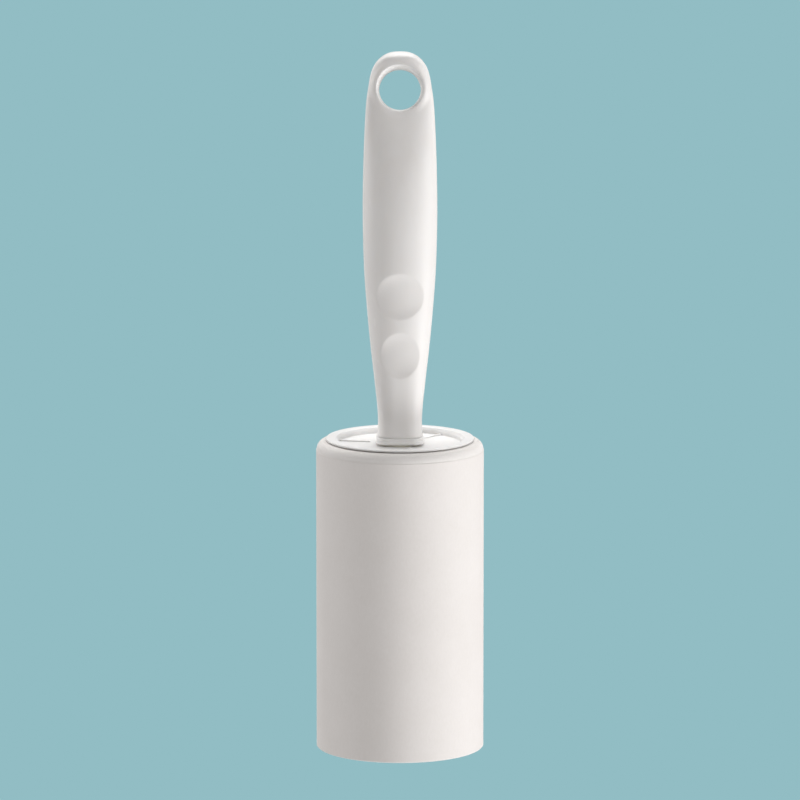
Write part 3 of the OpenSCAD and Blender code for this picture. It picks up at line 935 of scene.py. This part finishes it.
def screw():
    """Pan-head screw with a cross recess and a rolled thread."""
    low, high = box_mm("retaining_screw")
    seat = low.z + SCREW_HEAD_H
    head = [(0.001, seat, 0), (SCREW_HEAD_R, seat, 0.15), (SCREW_HEAD_R, low.z + 0.5, 0.6),
            (1.9, low.z, 0.5), (0.001, low.z, 0)]
    body = make_mesh("retaining_screw_steel", *lathe(rounded(head, 6), 96), 45)
    length = 3.5
    for angle in (0, 90):
        tool = turned(bar(length, 0.9, 1.1, 0.2), angle, low.z - 0.1, -length / 2)
        cutter = make_mesh(f"recess_{angle}", *tool)
        cut = body.modifiers.new("recess", "BOOLEAN")
        cut.operation = "DIFFERENCE"
        cut.solver = "EXACT"
        cut.object = cutter
        apply_modifiers(body)
        bpy.data.objects.remove(cutter)
    thread = make_mesh("thread", *screw_thread(seat, high.z), 30)
    bpy.ops.object.select_all(action="DESELECT")
    thread.select_set(True)
    body.select_set(True)
    bpy.context.view_layer.objects.active = body
    bpy.ops.object.join()
    body.data.shade_smooth()
    body.data.set_sharp_from_angle(angle=math.radians(35))
    return body


place(screw(), "handle", "axle_steel", WASHER_STEEL, "retaining_screw")

for node, material in (("axle", DRAWN_STEEL), ("axle_pin", DRAWN_STEEL),
                       ("upper_bush", NYLON), ("lower_bush", NYLON)):
    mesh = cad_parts[node].data
    mesh.materials.clear()
    mesh.materials.append(material)


# ---- Paper roll ----

def core_tube():
    corners = [(CORE_IN, 0.02, 0.15), (CORE_OUT, 0.02, 0.1), (CORE_OUT, ROLL_TOP - 0.05, 0.1),
               (CORE_IN, ROLL_TOP - 0.05, 0.15)]
    return make_mesh("core_tube", *lathe(rounded(corners, 4), 256), 50)


place(core_tube(), "roll", "core_board", CORE_BOARD, "roll_core")


def wave(k, a, b):
    """A fixed small unevenness between -1 and 1 for layer k."""
    return math.sin(k * a) * 0.6 + math.sin(k * b + 1.3) * 0.4


def quarter(mid_r, mid_z, r, start, steps):
    """Points of a quarter circle about (mid_r, mid_z), from the angle start in degrees."""
    return [(mid_r + r * math.cos(math.radians(start + 90 * i / steps)),
             mid_z + r * math.sin(math.radians(start + 90 * i / steps)))
            for i in range(steps + 1)]


def wound_sheets():
    """The wound sheets, with their edges a little uneven on both ends."""
    outer = ROLL_R - SHEET_T
    pitch = (outer - CORE_OUT) / LAYERS
    points = [(CORE_OUT, 0.04)]
    for k in range(LAYERS - 2):
        r = CORE_OUT + pitch * k
        step = 0.03 + UNEVEN * wave(k, 2.3, 5.1)
        points += [(r + pitch * 0.12, step), (r + pitch * 0.88, step), (r + pitch, 0.09)]
    points += quarter(outer - FOOT_ROUND, FOOT_ROUND, FOOT_ROUND, -90, 6)
    top_r = PAPER_ROUND - SHEET_T
    mid_r = outer - top_r
    points += quarter(mid_r, ROLL_TOP - top_r, top_r, 0, 10)
    for k in reversed(range(int((mid_r - CORE_OUT) / pitch))):
        r = CORE_OUT + pitch * k
        step = ROLL_TOP - 0.03 - UNEVEN * wave(k, 1.7, 4.3)
        points += [(r + pitch * 0.88, step), (r + pitch * 0.12, step), (r, ROLL_TOP - 0.09)]
    return make_mesh("wound_sheets", *lathe(points, 256), 50)


place(wound_sheets(), "roll", "sheet_paper", WOUND_PAPER, "paper_roll")


def outer_sheet():
    """The outer sheet, which comes up out of the roll and ends in a free edge at the back."""
    low, high = FOOT_ROUND, ROLL_TOP - PAPER_ROUND
    sweep = 360 - LEAD_GAP
    columns, rows = 360, 12
    points, faces = [], []
    for face_r in (ROLL_R - SHEET_T + 0.005, ROLL_R):
        for i in range(columns + 1):
            turn = i / columns
            a = math.radians(LEAD_EDGE + LEAD_GAP / 2 + sweep * turn)
            dip = LEAD_IN * (1 - smoothstep(turn * 8))
            dip += LEAD_OUT * (1 - smoothstep((1 - turn) * 8))
            x, y = (face_r - dip) * math.cos(a), (face_r - dip) * math.sin(a)
            points += [(x, y, low + (high - low) * k / rows) for k in range(rows + 1)]
    n, layer = rows + 1, (columns + 1) * (rows + 1)
    for i in range(columns):
        for k in range(rows):
            a, b = i * n + k, (i + 1) * n + k
            faces.append((a, a + 1, b + 1, b))
            faces.append((layer + a, layer + b, layer + b + 1, layer + a + 1))
        for k in (0, rows):
            a, b = i * n + k, (i + 1) * n + k
            faces.append((a, b, layer + b, layer + a))
    for k in range(rows):
        for i in (0, columns):
            a = i * n + k
            faces.append((a, a + 1, layer + a + 1, layer + a))
    return make_mesh("outer_sheet", points, faces, 50)


place(outer_sheet(), "roll", "sheet_paper", SHEET_PAPER, "lead_sheet")


# ---- Stage, light and camera ----

def srgb(r, g, b):
    """Linear colour from an 8-bit screen colour."""
    return tuple((v / 255 / 12.92) if v <= 10 else ((v / 255 + 0.055) / 1.055) ** 2.4
                 for v in (r, g, b))


ROLL_TRAVEL = 0.1102
FLOOR_RADIUS = 8.0
FLOOR_GLOW = 0.975
BACKDROP = srgb(146, 189, 196)
FLOOR_COLOUR = tuple(c * 0.02 for c in BACKDROP)


def floor_material():
    """Even pale teal, seen from above only."""
    mat, nodes, links, shader = new_material("floor_pale_teal")
    shader.inputs["Base Color"].default_value = (*FLOOR_COLOUR, 1)
    shader.inputs["Roughness"].default_value = 0.9
    shader.inputs["Specular IOR Level"].default_value = 0
    shader.inputs["Emission Color"].default_value = (*BACKDROP, 1)
    shader.inputs["Emission Strength"].default_value = FLOOR_GLOW
    clear = nodes.new("ShaderNodeBsdfTransparent")
    one_sided = nodes.new("ShaderNodeMixShader")
    links.new(nodes.new("ShaderNodeNewGeometry").outputs["Backfacing"], one_sided.inputs["Fac"])
    links.new(shader.outputs["BSDF"], one_sided.inputs[1])
    links.new(clear.outputs["BSDF"], one_sided.inputs[2])
    links.new(one_sided.outputs["Shader"], nodes["Material Output"].inputs["Surface"])
    return mat


def backdrop():
    """A wide pale floor, as low as the roll's foot goes when it is drawn off the carrier."""
    around = 96
    points = [(FLOOR_RADIUS * math.cos(TAU * i / around),
               FLOOR_RADIUS * math.sin(TAU * i / around), -ROLL_TRAVEL) for i in range(around)]
    mesh = bpy.data.meshes.new("floor")
    mesh.from_pydata(points, [], [tuple(range(around))])
    mesh.materials.append(floor_material())
    floor = bpy.data.objects.new("floor", mesh)
    bpy.context.scene.collection.objects.link(floor)
    floor.visible_diffuse = False
    floor.visible_glossy = False
    floor.visible_shadow = False


backdrop()


def soft_light(name, azimuth, elevation, strength, spread):
    """A far, wide light: azimuth 0 is in front (-Y), 90 is to the right (+X)."""
    lamp = bpy.data.lights.new(name, "SUN")
    lamp.energy = strength
    lamp.angle = math.radians(spread)
    obj = bpy.data.objects.new(name, lamp)
    a, e = math.radians(azimuth), math.radians(elevation)
    way = Vector((math.sin(a) * math.cos(e), -math.cos(a) * math.cos(e), math.sin(e)))
    obj.rotation_euler = way.to_track_quat("Z", "Y").to_euler()
    bpy.context.scene.collection.objects.link(obj)


# [name, azimuth, elevation, strength, spread]
LIGHTS = (
    ("right_low", 75, -33, 1.3, 25),
    ("right_level", 74, -3, 0.75, 30),
    ("right_high", 75, 30, 0.6, 44),
    ("front", 16, 15, 0.1, 44),
    ("from_below", 0, -45, 1.0, 50),
    ("left", 250, 15, 0.95, 44),
    ("back_left", 215, 0, 0.3, 40),
    ("top_back", 180, 50, 1.8, 44),
    ("top_right", 120, 60, 0.5, 44),
    ("top_left", 240, 60, 0.3, 44),
)
for light in LIGHTS:
    soft_light(*light)


FILL_COLOUR = (1, 0.985, 0.97)
FILL_STRENGTH = 0.33


def studio_world():
    """Soft fill from all round, with the backdrop's colour behind the object."""
    world = bpy.data.worlds.new("studio")
    bpy.context.scene.world = world
    world.use_nodes = True
    nodes, links = world.node_tree.nodes, world.node_tree.links
    fill = nodes["Background"]
    fill.inputs["Color"].default_value = (*FILL_COLOUR, 1)
    fill.inputs["Strength"].default_value = FILL_STRENGTH
    seen = nodes.new("ShaderNodeBackground")
    seen.inputs["Color"].default_value = (*BACKDROP, 1)
    path = nodes.new("ShaderNodeLightPath")
    choose = nodes.new("ShaderNodeMixShader")
    links.new(path.outputs["Is Camera Ray"], choose.inputs["Fac"])
    links.new(fill.outputs["Background"], choose.inputs[1])
    links.new(seen.outputs["Background"], choose.inputs[2])
    links.new(choose.outputs["Shader"], nodes["World Output"].inputs["Surface"])


studio_world()

bpy.context.scene.view_settings.view_transform = "Standard"
bpy.context.scene.view_settings.look = "None"


def set_camera():
    """Long lens, a little above the roll, square on to the thumb side."""
    data = bpy.data.cameras.new("camera")
    camera = bpy.data.objects.new("camera", data)
    bpy.context.scene.collection.objects.link(camera)
    distance, elevation, width = 2.5, math.radians(10.13), 0.2602
    target = Vector((0, 0, 0.11486))
    way = Vector((0, -math.cos(elevation), math.sin(elevation)))
    camera.location = target + way * distance
    camera.rotation_euler = way.to_track_quat("Z", "Y").to_euler()
    data.sensor_width = 36
    data.lens = data.sensor_width * distance / width
    data.clip_end = 50
    bpy.context.scene.camera = camera


set_camera()
